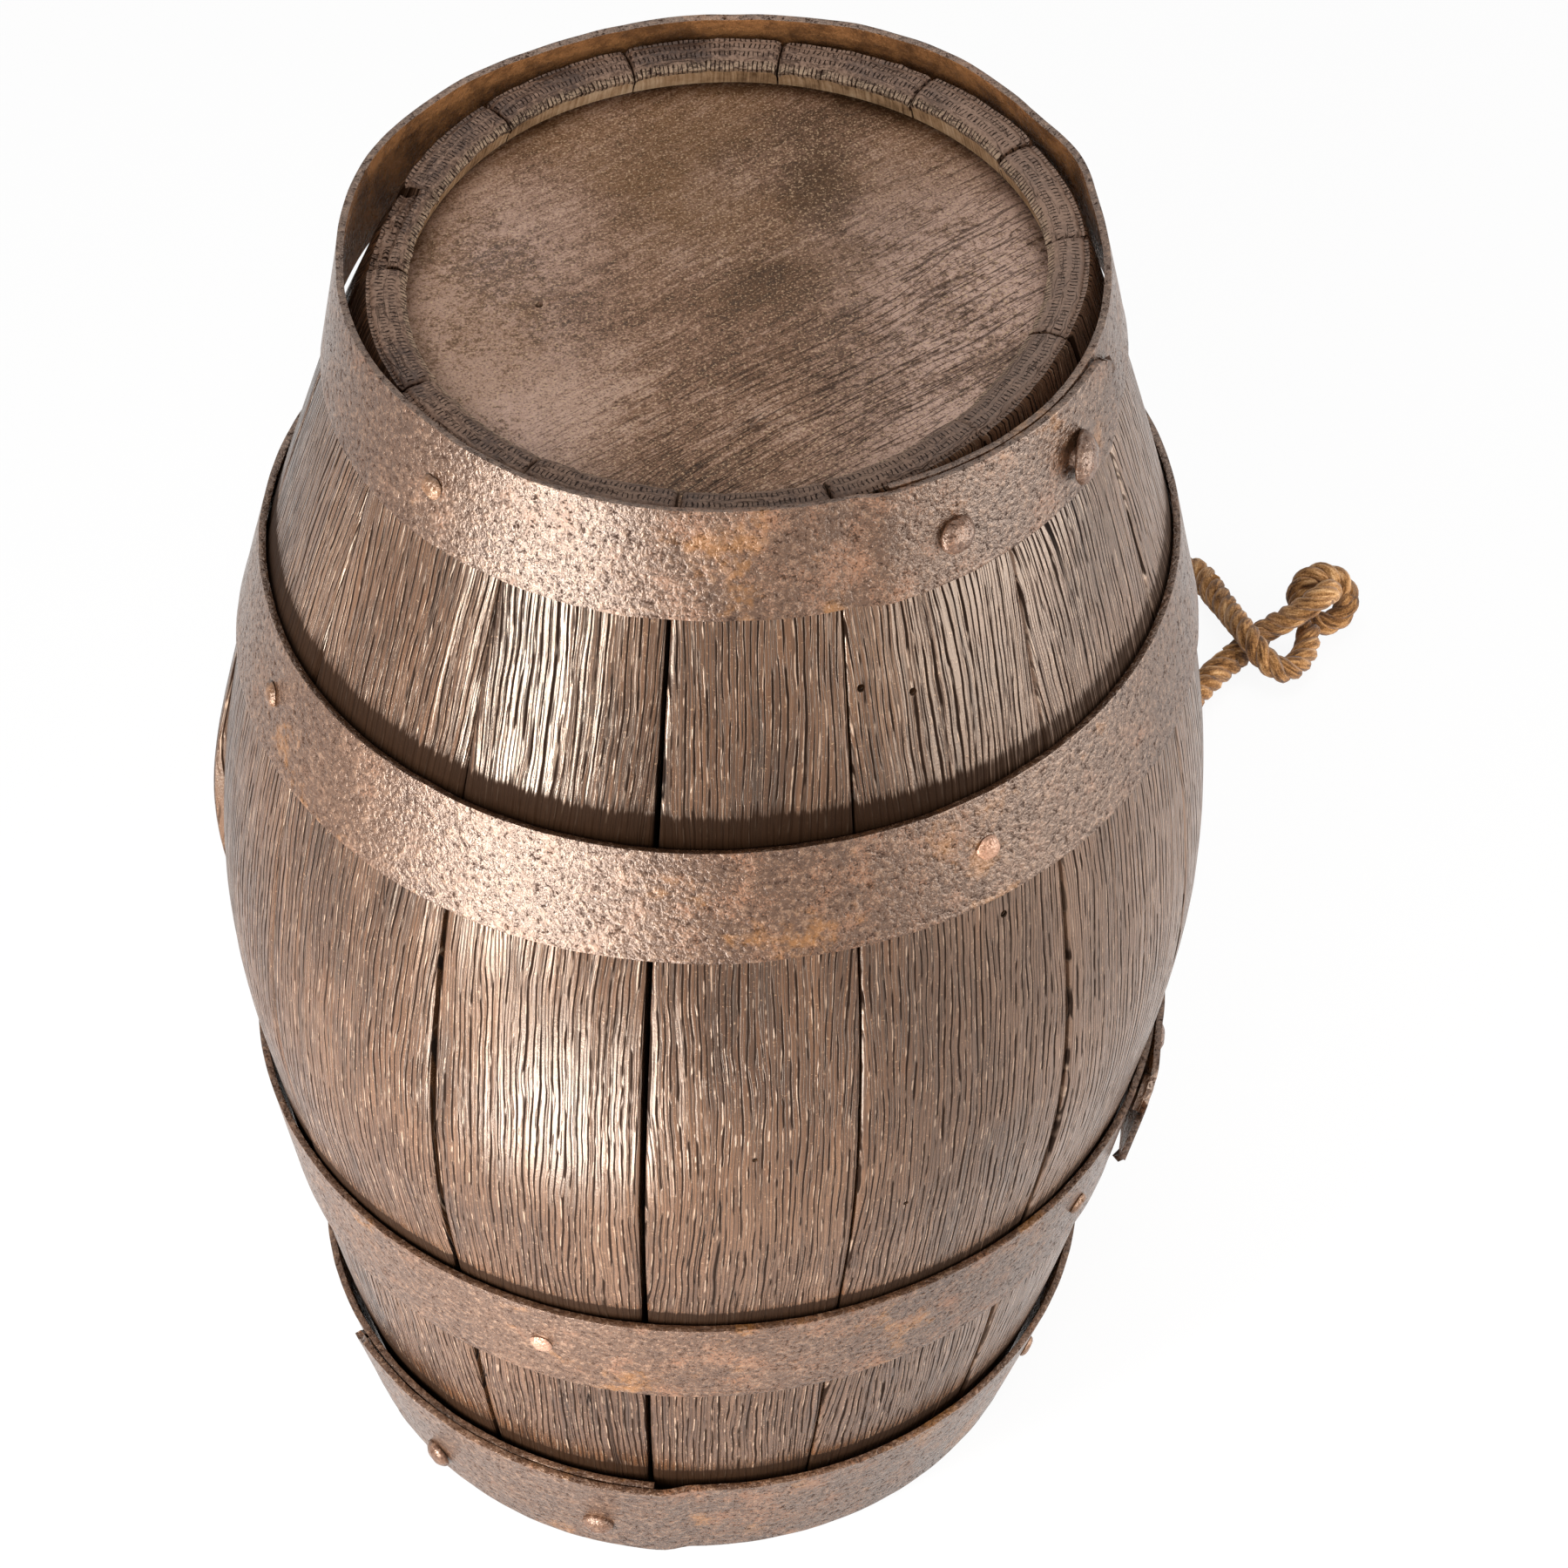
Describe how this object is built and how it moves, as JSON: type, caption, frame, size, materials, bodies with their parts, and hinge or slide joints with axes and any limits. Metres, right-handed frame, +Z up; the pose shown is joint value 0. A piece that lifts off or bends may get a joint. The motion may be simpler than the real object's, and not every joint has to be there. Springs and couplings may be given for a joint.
{
  "type": "wooden keg",
  "caption": "Small coopered oak keg with bulging staves, flat heads, riveted iron hoops, a tapered bung in the side and a knotted carrying rope.",
  "frame": {"origin": "on the floor, under the centre of the keg's own box (the rope left out)", "axes": "+Z up along the keg's height; the pictured side faces -Y; the bung is in the back, towards +Y"},
  "size_m": [0.3689, 0.4514, 0.4146],
  "materials": {
    "stave_wood": "weathered oak with a worn, slightly glossy patina",
    "head_wood": "dusty weathered oak",
    "hoop_iron": "pitted iron with brown rust",
    "pin_iron": "worn rusted iron",
    "bung_wood": "plain aged oak",
    "rope_hemp": "old laid hemp, matt and slightly hairy"
  },
  "bodies": {
    "keg": {"head_bottom": "head_wood", "head_top": "head_wood", "hoop_1_top_chime": "hoop_iron", "hoop_1_top_chime_nail_1": "pin_iron", "hoop_1_top_chime_nail_2": "pin_iron", "hoop_1_top_chime_rivet_1": "pin_iron", "hoop_1_top_chime_rivet_2": "pin_iron", "hoop_2_upper_bilge": "hoop_iron", "hoop_2_upper_bilge_nail_1": "pin_iron", "hoop_2_upper_bilge_nail_2": "pin_iron", "hoop_2_upper_bilge_rivet_1": "pin_iron", "hoop_2_upper_bilge_rivet_2": "pin_iron", "hoop_3_lower_bilge": "hoop_iron", "hoop_3_lower_bilge_nail_1": "pin_iron", "hoop_3_lower_bilge_nail_2": "pin_iron", "hoop_3_lower_bilge_nail_3": "pin_iron", "hoop_3_lower_bilge_rivet_1": "pin_iron", "hoop_3_lower_bilge_rivet_2": "pin_iron", "hoop_4_bottom_chime": "hoop_iron", "hoop_4_bottom_chime_nail_1": "pin_iron", "hoop_4_bottom_chime_nail_2": "pin_iron", "hoop_4_bottom_chime_nail_3": "pin_iron", "hoop_4_bottom_chime_rivet_1": "pin_iron", "hoop_4_bottom_chime_rivet_2": "pin_iron", "rope_bight": "rope_hemp", "rope_knot": "rope_hemp", "rope_staple": "hoop_iron", "rope_strand_a": "rope_hemp", "rope_strand_b": "rope_hemp", "stave_01": "stave_wood", "stave_02": "stave_wood", "stave_03": "stave_wood", "stave_04": "stave_wood", "stave_05": "stave_wood", "stave_06": "stave_wood", "stave_07": "stave_wood", "stave_08": "stave_wood", "stave_09": "stave_wood", "stave_10": "stave_wood", "stave_11": "stave_wood", "stave_12": "stave_wood", "stave_13": "stave_wood", "stave_14": "stave_wood"},
    "bung": {"bung": "bung_wood"}
  },
  "joints": [
    {"name": "bung_slide", "type": "slide", "parent": "keg", "child": "bung", "axis": [0, 1, 0], "range_m": [0, 0.05]}
  ]
}
